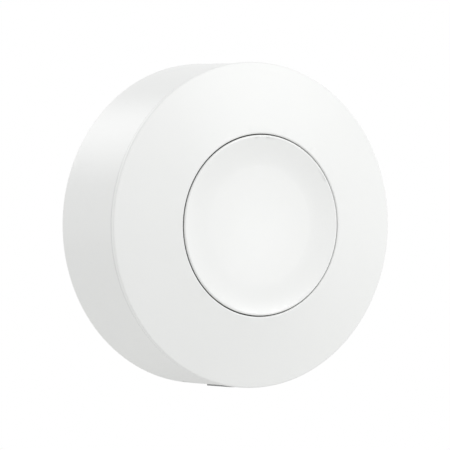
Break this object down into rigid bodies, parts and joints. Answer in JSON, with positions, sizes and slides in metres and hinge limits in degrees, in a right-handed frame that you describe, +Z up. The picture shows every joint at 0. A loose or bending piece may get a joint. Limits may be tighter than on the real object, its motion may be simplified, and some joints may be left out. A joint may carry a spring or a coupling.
{
  "type": "smart button",
  "caption": "Round wall-mounted wireless push button: a shallow conical ring round a dished round cap, on a drum-shaped body that lifts off its wall plate.",
  "frame": {"origin": "middle of the adhesive pad's outer face, on the wall plane", "axes": "+Z up the wall, +Y into the wall, +X to the right as seen by someone facing the button; the front faces -Y"},
  "size_m": [0.065, 0.0241, 0.0651],
  "materials": {
    "cover_plastic": "moulded ABS, white, fine satin",
    "shell_plastic": "moulded ABS, white, fine satin",
    "cap_plastic": "moulded ABS, white, fine satin",
    "plate_plastic": "moulded ABS, white, light spark texture",
    "frame_plastic": "moulded ABS, light grey",
    "pad_foam": "closed-cell acrylic foam with liner removed",
    "cell_steel": "nickel-plated deep-drawn steel",
    "cell_film": "shrunk plastic film",
    "contact_metal": "nickel-plated sheet",
    "spring_wire": "nickel-plated spring wire",
    "board_laminate": "glass-epoxy laminate with solder mask",
    "radio_laminate": "glass-epoxy laminate with solder mask",
    "shield_tin": "tin-plated steel",
    "chip_ceramic": "fired ceramic with tinned ends",
    "resistor_body": "coated ceramic with tinned ends",
    "chip_epoxy": "moulded black epoxy",
    "switch_plastic": "moulded black plastic",
    "screw_steel": "zinc-plated steel",
    "led_resin": "clear resin over yellow phosphor"
  },
  "bodies": {
    "wall_mount": {"wall_plate": "plate_plastic", "adhesive_pad": "pad_foam"},
    "housing": {"front_cover": "cover_plastic", "body_shell": "shell_plastic", "button_spring": "spring_wire", "latch_spring": "spring_wire", "battery_frame": "frame_plastic", "positive_contact": "contact_metal", "negative_contact": "contact_metal", "bridge_plate": "contact_metal", "bridge_spring": "spring_wire", "negative_spring": "spring_wire", "main_board": "board_laminate", "battery_upper": "cell_steel", "battery_lower": "cell_steel", "battery_upper_sleeve": "cell_film", "battery_lower_sleeve": "cell_film", "switch_body": "switch_plastic", "switch_cover": "shield_tin", "switch_dome": "contact_metal", "switch_legs": "contact_metal", "reset_switch_body": "switch_plastic", "radio_board": "radio_laminate", "radio_shield": "shield_tin", "chip_antenna": "chip_ceramic", "processor_chip": "chip_epoxy", "crystal": "shield_tin", "power_inductor": "resistor_body", "status_led": "led_resin", "chip_capacitors": "chip_ceramic", "chip_resistors": "resistor_body", "cover_screws": "screw_steel", "board_screws": "screw_steel"},
    "button": {"button_cap": "cap_plastic"},
    "plunger": {"switch_plunger": "switch_plastic"},
    "reset_plunger": {"reset_switch_plunger": "frame_plastic"},
    "latch": {"release_latch": "shell_plastic"}
  },
  "joints": [
    {"name": "housing_lift", "type": "slide", "parent": "wall_mount", "child": "housing", "axis": [0, -1, 0], "range_m": [0, 0.03], "deforming": ["release_latch"]},
    {"name": "button_press", "type": "slide", "parent": "housing", "child": "button", "axis": [0, 1, 0], "range_m": [0, 0.00035], "stiffness_N_per_m": 500, "springref_m": -0.002, "deforming": ["button_spring"]},
    {"name": "plunger_press", "type": "slide", "parent": "housing", "child": "plunger", "axis": [0, 1, 0], "range_m": [0, 0.00035], "stiffness_N_per_m": 50, "springref_m": -0.002, "deforming": ["switch_dome"]},
    {"name": "reset_press", "type": "slide", "parent": "housing", "child": "reset_plunger", "axis": [0, -1, 0], "range_m": [0, 0.00025], "stiffness_N_per_m": 200, "springref_m": -0.003},
    {"name": "latch_press", "type": "slide", "parent": "housing", "child": "latch", "axis": [0, 0, 1], "range_m": [0, 0.001], "stiffness_N_per_m": 400, "springref_m": -0.003, "deforming": ["latch_spring"]}
  ],
  "couplings": [
    {"joint": "plunger_press", "follows": "button_press", "ratio": 1}
  ]
}
